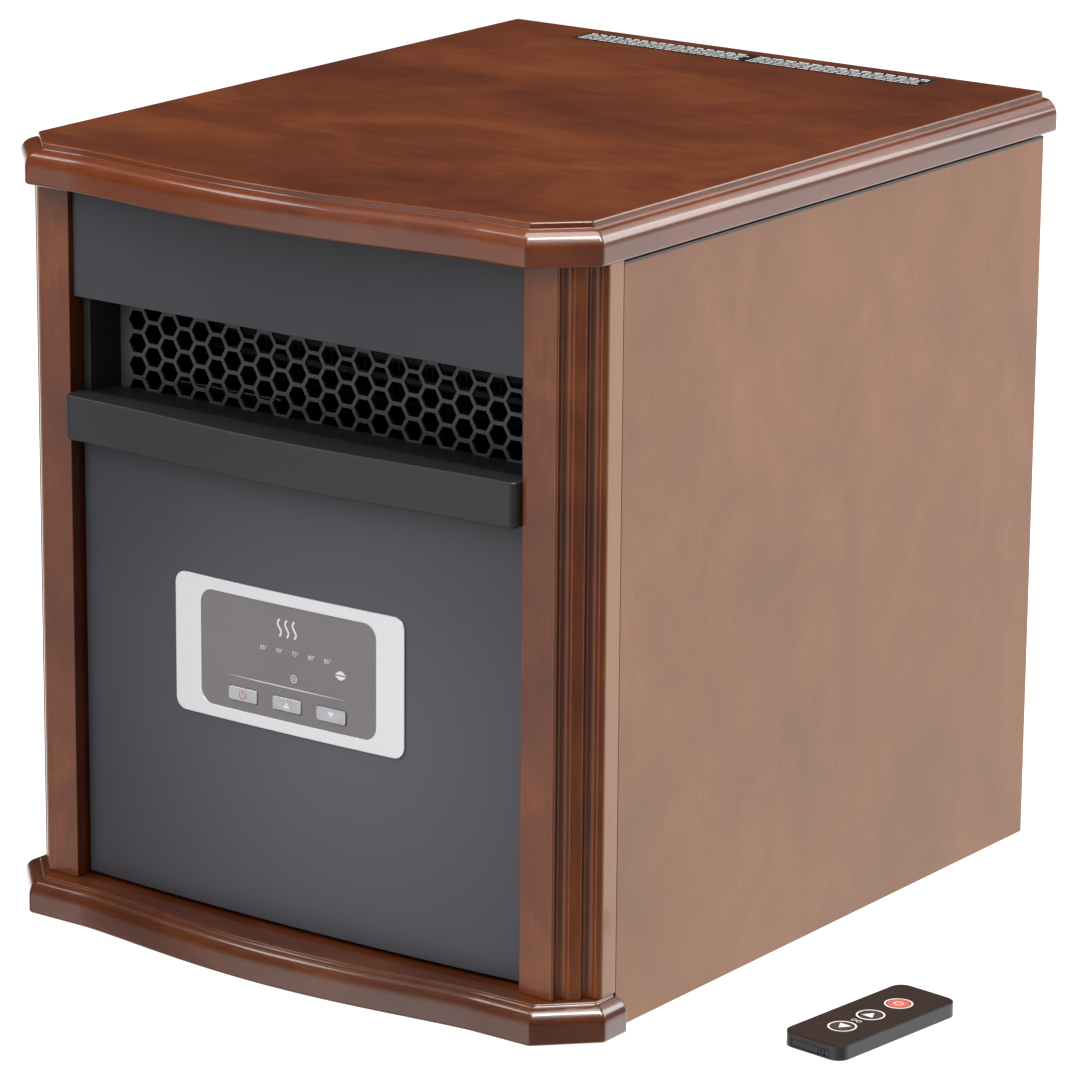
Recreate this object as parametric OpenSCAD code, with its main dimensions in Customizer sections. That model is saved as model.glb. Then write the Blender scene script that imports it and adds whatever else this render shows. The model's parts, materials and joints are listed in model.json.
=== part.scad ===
// Ceramic cabinet heater with its remote control.
// The origin is at the middle of the underside. +Z is up, the front faces -Y and +X is the right side.

/* [Cabinet] */
// Width over the two side panels
body_w = 335; // [325:1:360]
// Depth from the face of the front posts to the rear edge of the side panels
body_d = 384; // [370:1:420]
// Height of the whole heater
total_h = 380; // [370:1:410]
// Thickness of the side panels
board_t = 15; // [12:1:16]
// Thickness of the bottom board
bottom_t = 12; // [10:1:15]

/* [Top and base mouldings] */
// Thickness of the top
top_t = 19; // [17:0.5:22]
// Overhang of the top past each side panel
top_side = 2; // [1:0.5:5]
// Overhang of the top past the rear edge
top_rear = 9; // [4:1:12]
// Height of the base moulding
base_h = 17.5; // [16:0.5:20]
// Overhang of the base moulding past each side panel
base_side = 7.5; // [5:0.5:9]
// Distance from the posts forward to the mouldings' straight front edge
front_lip = 16; // [12:0.5:18]
// How far the bowed middle of the mouldings stands out from that edge
bow_out = 10.5; // [6:0.5:14]
// Half the width of the bowed stretch
bow_half = 118; // [100:1:125]
// Size of the mouldings' corner chamfer along each edge
lip_chamfer = 25; // [22:0.5:27]
// Depth of the base moulding's side returns behind the posts' face
return_d = 26.5; // [24:0.5:27]

/* [Front posts] */
// Width of a post, seen from the front
post_w = 35; // [33:0.5:38]
// Depth of a post
post_d = 27.5; // [27.5:0.5:32]
// Size of the post's chamfer along each face
post_chamfer = 16.8; // [14:0.2:18]
// Width of a flute
flute_w = 6.6; // [5:0.2:7.4]
// Depth of a flute
flute_deep = 2.8; // [2:0.1:3.2]
// Distance of each flute's middle from the front arris, along the chamfer
flute_at = [4.5, 17]; // [0:0.5:24]

/* [Front panels] */
// Distance of the upper panel's face behind the posts' face
upper_recess = 3; // [1:0.5:5]
// Distance of the lower panel's side edges behind the posts' face
lower_recess = 7.5; // [6:0.5:9]
// How far the lower panel's middle bows forward
panel_bow = 5; // [2:0.5:5]
// Height of the gap between the base moulding and the lower panel
panel_lift = 2.2; // [0.3:0.1:3]
// Sheet thickness of the steel panels
sheet_t = 1.2; // [0.8:0.1:1.5]
// Height of the lower edge of the upper panel
outlet_top = 306; // [300:1:310]
// Height of the shelf's top, which is the outlet's floor
outlet_floor = 260; // [255:1:265]
// Height of the shelf's front
shelf_h = 21.5; // [16:0.5:26]
// Distance that the shelf's ends stand in front of the posts
shelf_out = 6; // [4:0.5:9]
// Extra bow of the shelf at its middle
shelf_bow = 6.5; // [4:0.5:8]

/* [Outlet grille] */
// Height from one row of hexagons to the next
hex_pitch = 11.15; // [10.5:0.05:12]
// Width of the metal between two hexagons
hex_web = 1.8; // [1.2:0.1:2.4]
// Number of hexagon columns
hex_columns = 24; // [20:1:24]
// Distance of the grille behind the posts' face
grille_back = 24; // [22:0.5:27]

/* [Control panel] */
// Width of the silver bezel
bezel_w = 136; // [126:1:140]
// Height of the silver bezel
bezel_h = 68; // [64:1:74]
// Height of the bezel's middle above the floor
bezel_z = 149; // [135:1:160]
// Offset of the bezel's middle from the middle of the heater
bezel_x = -3.5; // [-6:0.5:6]
// Width of the grey fascia inside the bezel
fascia_w = 104; // [98:1:108]
// Height of the grey fascia inside the bezel
fascia_h = 56; // [52:1:58]
// Width and height of a button
button_size = [17, 6.6]; // [5:0.2:18]
// Travel of a button
button_travel = 0.5; // [0.3:0.1:0.5]
// Thickness of the silver bezel
bezel_t = 1.2; // [1:0.1:2]

/* [Blower and heater] */
// Radius of the blower wheel
wheel_r = 58; // [50:1:60]
// Width of the blower wheel
wheel_w = 80; // [70:1:84]
// Number of blades on the blower wheel
blade_count = 32; // [24:1:40]
// Radius of the motor shaft
shaft_r = 4; // [3:0.5:5]
// Number of ceramic bars in the heater
stone_rows = 4; // [3:1:4]

/* [Rear] */
// Width of the air filter's opening in the rear panel
intake_w = 190; // [160:2:200]
// Height of the air filter's opening in the rear panel
intake_h = 180; // [150:2:190]
// Height of the middle of the air filter's opening
intake_z = 205; // [195:1:210]
// Radius of the hole through the cord bushing
cord_hole_r = 3.8; // [3:0.1:4.5]

/* [Remote control] */
// Width, length and thickness of the remote control
remote_size = [35, 86, 7]; // [6:1:90]
// Place of the middle of the remote control on the floor
remote_at = [261, -94]; // [-150:1:300]
// Turn of the remote control, clockwise from straight back
remote_turn = 6.5; // [0:0.5:20]
// Distance from one key to the next
key_pitch = 20.4; // [18:0.2:22]
// Radius of a key
key_r = 5.4; // [4.5:0.1:6]
// Travel of a key
key_travel = 0.3; // [0.2:0.1:0.3]

/* [Hidden] */
$fn = 48;

wood = "#7b4532";
black = "#434347";
steel = "silver";
front_y = -body_d / 2;
rear_y = body_d / 2;
half_w = body_w / 2;
inner_w = half_w - board_t;
post_in = half_w - post_w;
top_z = total_h - top_t;
gap = 0.3;
side_top = top_z - 1;
rear_sheet_y = rear_y - 7;
panel_y0 = lower_recess - panel_bow;
fascia_t = 0.8;
shelf_z = outlet_floor - shelf_h;
duct_w = post_in - 8;
duct_z = [outlet_floor - 3, outlet_top + 5];
duct_y = [grille_back + 0.5, 112];
scroll_c = [210, 215];
scroll_r = 90;
scroll_w = 96;
wheel_c = [218, 208];
wall = 2;
board_y = 12.5;
round_n = 6;

// Places its children with y counted back from the posts' face
module at_front() {
    translate([0, front_y, 0]) children();
}

// Extrudes a side view, whose x runs to the rear and whose y runs up, from x0 to x1
module across(x0, x1) {
    translate([x0, 0, 0]) rotate([90, 0, 90]) linear_extrude(x1 - x0) children();
}

// Extrudes a front view from y0 back to y1
module back(y0, y1) {
    translate([0, y1, 0]) rotate([90, 0, 0]) linear_extrude(y1 - y0) children();
}

// A box between two opposite corners
module box(low, high) {
    translate(low) cube(high - low);
}

// A rectangle with round corners about the origin
module round_rect(w, h, r) {
    square([w - 2 * r, h], center = true);
    square([w, h - 2 * r], center = true);
    for (sx = [-1, 1], sy = [-1, 1])
        translate([sx * (w / 2 - r), sy * (h / 2 - r)]) circle(r);
}

// Bow of the mouldings' front edge at a distance x from the middle
function bow(x) = bow_out * pow(max(0, 1 - pow(x / bow_half, 2)), 1.5);

// Plan outline of a moulding, moved in by d. It has the same number of points for every d.
bow_steps = 36;
function outline(half, d, back_y) =
    let (miter = d * (sqrt(2) - 1), cx = half - lip_chamfer - miter)
    concat(
        [[-half + d, back_y], [-half + d, front_y - front_lip + lip_chamfer + miter]],
        [for (i = [0:bow_steps])
            let (x = -cx + 2 * cx * i / bow_steps) [x, front_y - front_lip + d - bow(x)]],
        [[half - d, front_y - front_lip + lip_chamfer + miter], [half - d, back_y]]
    );

// Edge of a moulding from the bottom up, as [distance in, height]:
// a small round, a face, an ovolo and a step
function edge(h, ledge, step) = concat(
    [[1.6, 0], [0.5, 0.5], [0, 1.6]],
    [for (i = [0:round_n])
        let (a = 90 * i / round_n)
        [ledge * (1 - cos(a)), h - step - 8 + 8 * sin(a)]],
    [[ledge + 1.2, h - step + 0.2], [ledge + 1.8, h - 0.4], [ledge + 2.4, h]]
);

// Solid whose plan is the outline and whose edge follows the profile
module moulding(half, z, profile, back_y) {
    levels = len(profile);
    rings = [for (p = profile) outline(half, p[0], back_y)];
    n = len(rings[0]);
    points = [for (k = [0:levels - 1]) for (q = rings[k]) [q[0], q[1], z + profile[k][1]]];
    walls = [
        for (k = [0:levels - 2], i = [0:n - 1])
            [k * n + i, (k + 1) * n + i, (k + 1) * n + (i + 1) % n, k * n + (i + 1) % n]
    ];
    polyhedron(points, concat(walls, [[for (i = [0:n - 1]) i]],
        [[for (i = [n - 1:-1:0]) (levels - 1) * n + i]]));
}

module top_panel() {
    color(wood) moulding(half_w + top_side, top_z, edge(top_t, 7, 3), rear_y + top_rear);
}

module side_panel() {
    color(wood) box([inner_w, front_y + post_d, 0], [half_w, rear_y, side_top]);
}

module side_panel_left() {
    mirror([1, 0, 0]) side_panel();
}

module side_panel_right() {
    side_panel();
}

// Plan of the right post: a chamfered corner with two flutes
module post_plan() {
    sink = (pow(flute_w / 2, 2) + pow(flute_deep, 2)) / (2 * flute_deep);
    difference() {
        polygon([
            [post_in + 0.8, 0], [half_w - post_chamfer, 0], [half_w, post_chamfer],
            [half_w, post_d], [post_in, post_d], [post_in, 0.8]
        ]);
        for (s = flute_at)
            translate([half_w - post_chamfer, 0]) rotate(45)
                translate([s, flute_deep - sink]) circle(sink);
    }
}

module front_post() {
    color(wood) at_front() translate([0, 0, base_h]) linear_extrude(top_z - base_h) post_plan();
}

module front_post_left() {
    mirror([1, 0, 0]) front_post();
}

module front_post_right() {
    front_post();
}

module base_moulding() {
    color(wood) moulding(half_w + base_side, 0, edge(base_h, 6, 1.2), front_y + return_d);
}

// The bottom board, with a pocket for each glide pad and a hole for the tip-over plunger
module bottom_panel() {
    color("tan") difference() {
        box([-inner_w, front_y + return_d + 1, 0], [inner_w, rear_y - 6, bottom_t]);
        glide_places() translate([0, 0, -1]) cylinder(r = 11.2, h = 4);
        translate([tip_x, tip_y, -1]) cylinder(r = 4.05, h = bottom_t + 2);
    }
}
tip_x = -110;
tip_y = 120;

// Wooden strips behind the side panels' rear edges, drilled for the rear panel's screws
module rear_cleats() {
    color("tan") for (sx = [-1, 1]) difference() {
        box([sx > 0 ? inner_w - 15 : -inner_w, rear_sheet_y - 15, bottom_t],
            [sx > 0 ? inner_w : -inner_w + 15, rear_sheet_y, top_z - 18]);
        for (z = screw_z)
            translate([sx * screw_x, rear_sheet_y + 1, z]) rotate([90, 0, 0]) cylinder(r = 2, h = 9);
    }
}

module glide_places() {
    for (sx = [-1, 1], y = [front_y + 55, rear_y - 32])
        translate([sx * (inner_w - 22), y, 0]) children();
}

module glide_pads() {
    color("black") glide_places() cylinder(r = 11, h = 3);
}

// Wooden strips that join the side panels to the top
module top_cleats() {
    color("tan") for (sx = [-1, 1])
        box([sx > 0 ? inner_w - 15 : -inner_w, front_y + 40, top_z - 18],
            [sx > 0 ? inner_w : -inner_w + 15, rear_y - 16, top_z]);
}

// Wooden blocks that join the side panels to the bottom
module corner_blocks() {
    color("tan") for (sx = [-1, 1], y = [front_y + 40, rear_y - 56])
        box([sx > 0 ? inner_w - 18 : -inner_w, y, bottom_t],
            [sx > 0 ? inner_w : -inner_w + 18, y + 30, bottom_t + 30]);
}

// A steel tray: a face with a flange folded back along each side
module panel_tray(half, y, z0, z1, flange_d) {
    box([-half, y, z0], [half, y + sheet_t, z1]);
    for (sx = [-1, 1])
        box([sx > 0 ? half - sheet_t : -half, y, z0], [sx > 0 ? half : -half + sheet_t, y + flange_d, z1]);
}

module upper_front_panel() {
    color(black) at_front() {
        panel_tray(post_in - 0.2, upper_recess, outlet_top, top_z - gap, 20);
        box([-post_in + 0.2, upper_recess, outlet_top], [post_in - 0.2, lower_recess, outlet_top + sheet_t]);
        box([-post_in + 0.2, upper_recess, top_z - gap - sheet_t], [post_in - 0.2, 20, top_z - gap]);
    }
}

panel_half = post_in - 1.7;
panel_steps = 32;

// The bowed face of the lower panel, moved back by d
function panel_y(x) = lower_recess - panel_bow * (1 - pow(x / panel_half, 2));
function panel_line(d) = [
    for (i = [0:panel_steps])
        let (x = panel_half * (2 * i / panel_steps - 1)) [x, panel_y(x) + d]
];

// Plan of a bowed sheet between the face moved back by d0 and by d1
module bowed_sheet(d0, d1) {
    line = panel_line(d1);
    polygon(concat(panel_line(d0), [for (i = [panel_steps:-1:0]) line[i]]));
}

// Plan of everything between the face moved back by d and a straight line y1
module behind_panel(d, y1) {
    polygon(concat(panel_line(d), [[panel_half, y1], [-panel_half, y1]]));
}

module lower_front_panel() {
    flange_d = 18;
    z0 = base_h + panel_lift;
    z1 = shelf_z - gap;
    color(black) at_front() difference() {
        union() {
            translate([0, 0, z0]) linear_extrude(z1 - z0) bowed_sheet(0, sheet_t);
            for (z = [z0, z1 - sheet_t])
                translate([0, 0, z]) linear_extrude(sheet_t) behind_panel(0, lower_recess + flange_d);
            for (sx = [-1, 1])
                box([sx > 0 ? panel_half - sheet_t : -panel_half, lower_recess, z0],
                    [sx > 0 ? panel_half : -panel_half + sheet_t, lower_recess + flange_d, z1]);
        }
        translate([bezel_x, 0, bezel_z]) back(0, lower_recess)
            square([fascia_w - 6, fascia_h - 6], center = true);
    }
}

// Pads between the lower panel's side flanges and the posts
module panel_spacers() {
    color("black") at_front() for (sx = [-1, 1], z = [50, 140, 215])
        box([sx > 0 ? panel_half : -post_in, lower_recess + 4, z - 10],
            [sx > 0 ? post_in : -panel_half, lower_recess + 16, z + 10]);
}

frame_in = post_in - 6;
frame_y = lower_recess + 0.5;
cheek_slope = 5;

// Plan of the outlet recess: its cheeks lean in towards the grille
module recess_plan(grow) {
    polygon([
        [-frame_in - grow, frame_y - 1], [-frame_in - grow, frame_y],
        [-frame_in + cheek_slope - grow, grille_back - 2],
        [-frame_in + cheek_slope - grow, grille_back + 4], [frame_in - cheek_slope + grow, grille_back + 4],
        [frame_in - cheek_slope + grow, grille_back - 2],
        [frame_in + grow, frame_y], [frame_in + grow, frame_y - 1]
    ]);
}

// Moulded frame of the outlet: a face flange at each end, two cheeks, a floor and a ceiling
module outlet_frame() {
    z0 = outlet_floor - wall;
    z1 = outlet_top + 4;
    color(black) at_front() {
        for (sx = [-1, 1])
            box([sx > 0 ? frame_in : -panel_half, frame_y, z0],
                [sx > 0 ? panel_half : -frame_in, frame_y + wall, z1 - gap]);
        translate([0, 0, z0]) linear_extrude(z1 - z0) difference() {
            intersection() {
                recess_plan(wall);
                translate([-frame_in - 5, frame_y]) square([2 * frame_in + 10, grille_back + 2 - frame_y]);
            }
            recess_plan(0);
        }
        for (z = [z0, z1 - wall])
            translate([0, 0, z]) linear_extrude(wall) intersection() {
                recess_plan(0);
                translate([-frame_in - 5, frame_y]) square([2 * frame_in + 10, grille_back + 2 - frame_y]);
            }
    }
}

// Steel plate pierced with hexagons whose flats are level
module outlet_grille() {
    half = frame_in - cheek_slope;
    column = hex_pitch * sqrt(3) / 2;
    hole_r = (hex_pitch - hex_web) / sqrt(3);
    low = outlet_floor;
    high = outlet_top + 4 - wall;
    color(black) at_front() back(grille_back, grille_back + 1.5) difference() {
        translate([-half, low]) square([2 * half, high - low]);
        intersection() {
            translate([-half + 1.5, low]) square([2 * half - 3, high - low - 1.5]);
            for (c = [0:hex_columns - 1], r = [-1:4])
                translate([(c - (hex_columns - 1) / 2) * column,
                    outlet_floor + (r + (c % 2) / 2) * hex_pitch]) circle(hole_r, $fn = 6);
        }
    }
}

shelf_half = post_in - gap;
shelf_corner = 4;

// Plan outline of the shelf, moved in by d: round front corners and a shallow bow
function shelf_outline(d) =
    let (r = shelf_corner - d, x1 = shelf_half - d, y0 = -shelf_out + d, steps = 24)
    concat(
        [[-x1, lower_recess - 0.2]],
        [for (i = [0:round_n]) let (a = 180 + 90 * i / round_n)
            [-x1 + r + r * cos(a), y0 + r + r * sin(a)]],
        [for (i = [1:steps - 1])
            let (t = -1 + 2 * i / steps) [t * (x1 - r), y0 - shelf_bow * (1 + cos(180 * t)) / 2]],
        [for (i = [0:round_n]) let (a = 270 + 90 * i / round_n)
            [x1 - r + r * cos(a), y0 + r + r * sin(a)]],
        [[x1, lower_recess - 0.2]]
    );

// Hollow shelf under the outlet, with a tongue that goes in under the outlet frame
module outlet_shelf() {
    color(black) at_front() {
        difference() {
            translate([0, 0, shelf_z]) linear_extrude(shelf_h) polygon(shelf_outline(0));
            difference() {
                translate([0, 0, shelf_z + 2.5]) linear_extrude(shelf_h - 5) polygon(shelf_outline(2.5));
                box([-shelf_half, 2, shelf_z], [shelf_half, lower_recess, outlet_floor]);
            }
        }
        box([-frame_in + 6, lower_recess - 0.2, outlet_floor - wall - 4],
            [frame_in - 6, grille_back - 4, outlet_floor - wall]);
    }
}

// Places its children with x counted from the bezel's middle and y from the posts' face
module at_controls() {
    at_front() translate([bezel_x, 0, 0]) children();
}

// A front view turned into a plate that follows the lower panel's bow, from d0 to d1 behind its face
module bowed_plate(d0, d1) {
    intersection() {
        back(0, lower_recess) children();
        translate([-bezel_x, 0, 0]) linear_extrude(total_h) bowed_sheet(d0, d1);
    }
}

module control_bezel() {
    color("whitesmoke") at_controls() bowed_plate(-bezel_t, 0) translate([0, bezel_z]) difference() {
        round_rect(bezel_w, bezel_h, 6);
        round_rect(fascia_w, fascia_h, 7);
    }
}

button_x = [-26.3, 0, 26.3];
button_z = bezel_z - 19.8;
button_out = 0.6;
light_z = bezel_z + 1.8;
light_x = [for (i = [-2:2]) 5 + 9.5 * i];
stem_y = panel_y0 + 3.5;

// Grey face plate with the three button holes. The lamps shine through its thin film.
module control_fascia() {
    color("dimgray") at_controls() bowed_plate(-fascia_t, 0) difference() {
        translate([0, bezel_z]) round_rect(fascia_w - 0.2, fascia_h - 0.2, 6.9);
        for (x = button_x) translate([x, button_z])
            round_rect(button_size[0] + 0.6, button_size[1] + 0.6, 1.5);
    }
}

// Light guide behind the fascia, in front of the five lamps
module indicator_lens() {
    color("gainsboro") at_controls() bowed_plate(0, 1.2)
        translate([5, light_z]) square([54, 6], center = true);
}

// A button: its cap stands out of the fascia and its stem reaches back to the switch
module control_button(i) {
    color("lightgray") at_controls() {
        back(panel_y0 - fascia_t - button_out, stem_y) translate([button_x[i], button_z])
            round_rect(button_size[0], button_size[1], 1.2);
        translate([button_x[i], 0, button_z]) back(stem_y, board_y - 4.2) circle(1.8);
    }
}

module button_power() {
    control_button(0);
}

module button_up() {
    control_button(1);
}

module button_down() {
    control_button(2);
}

// Moulded tray behind the panel that carries the control board
module control_housing() {
    w = fascia_w / 2 + 4;
    h = fascia_h / 2 + 4;
    color("dimgray") at_controls() difference() {
        intersection() {
            box([-w, 0, bezel_z - h], [w, board_y + 12, bezel_z + h]);
            translate([-bezel_x, 0, 0]) linear_extrude(total_h) behind_panel(sheet_t, board_y + 12);
        }
        box([-w + wall, 0, bezel_z - h + wall], [w - wall, board_y + 10, bezel_z + h - wall]);
        box([20, board_y, bezel_z - h - 1], [30, board_y + 8, bezel_z - h + wall + 1]);
    }
}

// Control board with a switch behind each button and five lamps above them
module control_board() {
    z0 = bezel_z - fascia_h / 2 - 2;
    w = fascia_w / 2 + 2;
    color("darkgreen") at_controls() {
        box([-w, board_y, z0], [w, board_y + 1.6, z0 + fascia_h + 4]);
        for (x = button_x) {
            box([x - 3, board_y - 2.6, button_z - 3], [x + 3, board_y, button_z + 3]);
            translate([x, 0, button_z]) back(board_y - 3.4, board_y - 2.6) circle(1.5);
        }
        for (x = light_x) translate([x, 0, light_z]) back(board_y - 4.4, board_y) circle(1.5);
        box([-44, board_y + 1.6, z0 + 30], [-20, board_y + 6, z0 + 44]);
        box([20, board_y + 1.6, z0 + 8], [34, board_y + 8, z0 + 16]);
    }
}

// Sheet-steel duct from the blower to the grille
module air_duct() {
    color(steel) at_front() difference() {
        box([-duct_w, duct_y[0], duct_z[0]], [duct_w, duct_y[1], duct_z[1]]);
        box([-duct_w + 1, 0, duct_z[0] + 1], [duct_w - 1, duct_y[1] - 1, duct_z[1] - 1]);
        box([-scroll_w / 2 + wall, duct_y[1] - 5, outlet_z + wall],
            [scroll_w / 2 - wall, duct_y[1] + 5, outlet_z + outlet_h - wall]);
    }
}
outlet_h = 47;
outlet_z = scroll_c[1] + scroll_r - outlet_h;

heater_y = [82, 108];
heater_half = duct_w - 1;
heater_z = [duct_z[0] + 1, duct_z[1] - 1];

// Steel frame that holds the ceramic bars in the duct
module heater_frame() {
    color("lightgray") at_front() difference() {
        box([-heater_half, heater_y[0], heater_z[0]], [heater_half, heater_y[1], heater_z[1]]);
        box([-heater_half + 6, heater_y[0] - 1, heater_z[0] + 3],
            [heater_half - 6, heater_y[1] + 1, heater_z[1] - 3]);
    }
}

fin_h = (heater_z[1] - heater_z[0] - 6 - 3 * stone_rows) / (stone_rows + 1);
function stone_z(i) = heater_z[0] + 3 + fin_h + i * (fin_h + 3);

module ceramic_bars() {
    color("antiquewhite") at_front() for (i = [0:stone_rows - 1])
        box([-heater_half + 8, heater_y[0] + 4, stone_z(i)],
            [heater_half - 8, heater_y[1] - 4, stone_z(i) + 3]);
}

// Rows of upright aluminium fins between the bars
module heater_fins() {
    fin_pitch = 4;
    count = floor((heater_half - 8) / fin_pitch);
    color("gainsboro") at_front() back(heater_y[0] + 3, heater_y[1] - 3)
        for (i = [0:stone_rows]) {
            z = i == 0 ? heater_z[0] + 3 : stone_z(i - 1) + 3;
            difference() {
                translate([-heater_half + 8, z]) square([2 * heater_half - 16, fin_h]);
                for (k = [-count + 1:count - 1])
                    translate([k * fin_pitch, z + fin_h / 2])
                        square([fin_pitch - 0.6, fin_h - 0.8], center = true);
            }
        }
}

// Bright steel angle on the duct's floor that turns the air up
module airflow_lip() {
    color(steel) at_front() for (part = [[45, outlet_floor + 2], [52, heater_z[0] + 1]])
        box([-102, 44, heater_z[0]], [-40, part[0], part[1]]);
}

// Disc thermostat on the duct's roof
module thermal_cutoff() {
    color("tan") at_front() translate([40, 90, duct_z[1]]) {
        cylinder(r = 12, h = 1);
        translate([0, 0, 1]) cylinder(r = 8, h = 9);
        for (sx = [-1, 1]) box([sx * 4 - 0.4, -3, 10], [sx * 4 + 0.4, 3, 17]);
    }
}

// Side view of the blower's air space, grown by g: a round chamber and a straight outlet
module scroll_view(g) {
    translate(scroll_c) circle(scroll_r - wall + g, $fn = 96);
    translate([duct_y[1], outlet_z + wall - g])
        square([scroll_c[0] - duct_y[1], outlet_h - 2 * wall + 2 * g]);
}

module blower_scroll() {
    color(steel) at_front() {
        across(-scroll_w / 2 + wall, scroll_w / 2 - wall) difference() {
            scroll_view(wall);
            scroll_view(0);
            translate([duct_y[1] - 5, outlet_z + wall]) square([20, outlet_h - 2 * wall]);
        }
        across(scroll_w / 2 - wall, scroll_w / 2) difference() {
            scroll_view(wall);
            translate(wheel_c) circle(10);
        }
    }
}

// Plate on the blower's open side, with a flared inlet ring
module blower_inlet_plate() {
    inlet_r = wheel_r - 12;
    color(steel) at_front() {
        across(-scroll_w / 2, -scroll_w / 2 + wall) difference() {
            scroll_view(wall);
            translate(wheel_c) circle(inlet_r, $fn = 96);
        }
        translate([-scroll_w / 2, wheel_c[0], wheel_c[1]]) rotate([0, -90, 0])
            rotate_extrude($fn = 96) polygon([
                [inlet_r, 0], [inlet_r + 2, 0], [inlet_r + 4, 3], [inlet_r + 8, 5], [inlet_r + 8, 6.5],
                [inlet_r + 3, 4.5], [inlet_r, 1]
            ]);
    }
}

// Squirrel-cage wheel: a back plate with a hub, a ring at the open side, and leaning blades
module blower_wheel() {
    x0 = -wheel_w / 2;
    color("dimgray") at_front() translate([0, wheel_c[0], wheel_c[1]]) {
        across(x0, x0 + 3) difference() {
            circle(wheel_r, $fn = 96);
            circle(wheel_r - 9, $fn = 96);
        }
        across(x0 + 3, -x0 - 2) for (i = [0:blade_count - 1])
            rotate(360 / blade_count * i) translate([wheel_r - 4.5, 0]) rotate(35)
                square([9, 1], center = true);
        across(-x0 - 2, -x0) difference() {
            circle(wheel_r, $fn = 96);
            circle(shaft_r);
        }
        across(-x0 - 22, -x0 - 2) difference() {
            circle(12);
            circle(shaft_r);
        }
    }
}

module blower_shaft() {
    color(steel) at_front() translate([0, wheel_c[0], wheel_c[1]])
        across(wheel_w / 2 - 26, scroll_w / 2 + 40) circle(shaft_r);
}

// Motor with a bore that runs on the shaft
module blower_motor() {
    x0 = scroll_w / 2 + 3;
    color(steel) at_front() translate([0, wheel_c[0], wheel_c[1]]) {
        difference() {
            union() {
                across(x0, x0 + 6) circle(14);
                across(x0 + 6, x0 + 34) circle(36);
                across(x0 + 34, x0 + 39) circle(14);
            }
            across(x0 - 1, x0 + 38) circle(shaft_r + 0.05);
        }
    }
}

// Plate with three arms that ties the motor to the blower's side
module motor_bracket() {
    x0 = scroll_w / 2;
    color(steel) at_front() translate([0, wheel_c[0], wheel_c[1]]) {
        across(x0, x0 + 3) difference() {
            union() {
                circle(22);
                for (a = [90, 210, 330]) rotate(a) translate([0, -7]) square([50, 14]);
            }
            circle(10);
        }
        for (a = [90, 210, 330]) across(x0 + 3, x0 + 37)
            rotate(a) translate([36.05, -5]) square([3, 10]);
    }
}

// Folded steel legs that carry the blower on the bottom board
module blower_stand() {
    color(steel) at_front() for (y = [160, 250])
        difference() {
            box([-scroll_w / 2, y, bottom_t], [scroll_w / 2, y + 16, 150]);
            box([-scroll_w / 2 + wall, y - 1, bottom_t + wall], [scroll_w / 2 - wall, y + 20, 160]);
            across(-scroll_w, scroll_w) translate(scroll_c) circle(scroll_r + 0.02, $fn = 96);
        }
}

screw_z = [bottom_t + 12, 110, 200, 290, side_top - 14];
screw_x = inner_w - 7;

// Steel rear panel with the filter's opening and two rows of slots
module rear_panel() {
    color("dimgray") difference() {
        back(rear_sheet_y, rear_sheet_y + sheet_t) difference() {
            translate([-inner_w + gap, bottom_t + gap])
                square([2 * inner_w - 2 * gap, side_top - bottom_t - 2 * gap]);
            translate([0, intake_z]) square([intake_w, intake_h], center = true);
            for (i = [-8:8], z = [62, 84]) translate([i * 10 - 20, z]) square([4, 16], center = true);
            for (i = [-11:11]) translate([i * 10, 328]) square([4, 24], center = true);
            for (sx = [-1, 1], z = screw_z) translate([sx * screw_x, z]) circle(2);
            translate(cord_at) circle(cord_hole_r + 3);
        }
    }
}
cord_at = [115, 50];

// Wooden-thread screws of the rear panel
module rear_screws() {
    color(steel) for (sx = [-1, 1], z = screw_z)
        translate([sx * screw_x, rear_sheet_y + sheet_t, z]) rotate([-90, 0, 0]) difference() {
            union() {
                cylinder(r = 3.6, h = 2);
                translate([0, 0, -sheet_t - 4]) cylinder(r = 1.9, h = sheet_t + 4);
            }
            for (a = [0, 90]) rotate(a) translate([-2.2, -0.5, 1]) cube([4.4, 1, 3]);
        }
}

filter_y = rear_sheet_y - 14;

grid_y = rear_sheet_y + sheet_t + gap;
grid_t = 2.7;

// Outer half of the filter cassette: a flange with a grid and a finger tab
module filter_grid() {
    color("dimgray") translate([0, 0, intake_z]) {
        back(grid_y, grid_y + grid_t) difference() {
            square([intake_w + 14, intake_h + 14], center = true);
            for (i = [-9:9], j = [-4:4])
                translate([i * 10, j * 20]) square([7.5, 17], center = true);
        }
        box([-20, grid_y + grid_t, intake_h / 2 - 1], [20, grid_y + grid_t + 5, intake_h / 2 + 2]);
    }
}

// Inner half of the cassette: a frame round the foam that goes into the opening
module filter_frame() {
    w = intake_w - 1;
    h = intake_h - 1;
    color("dimgray") translate([0, 0, intake_z]) back(filter_y, grid_y) difference() {
        square([w, h], center = true);
        square([w - 4, h - 4], center = true);
    }
}

module filter_foam() {
    color("darkgray") box([-intake_w / 2 + 3, filter_y + 2, intake_z - intake_h / 2 + 3],
        [intake_w / 2 - 3, grid_y, intake_z + intake_h / 2 - 3]);
}

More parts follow.
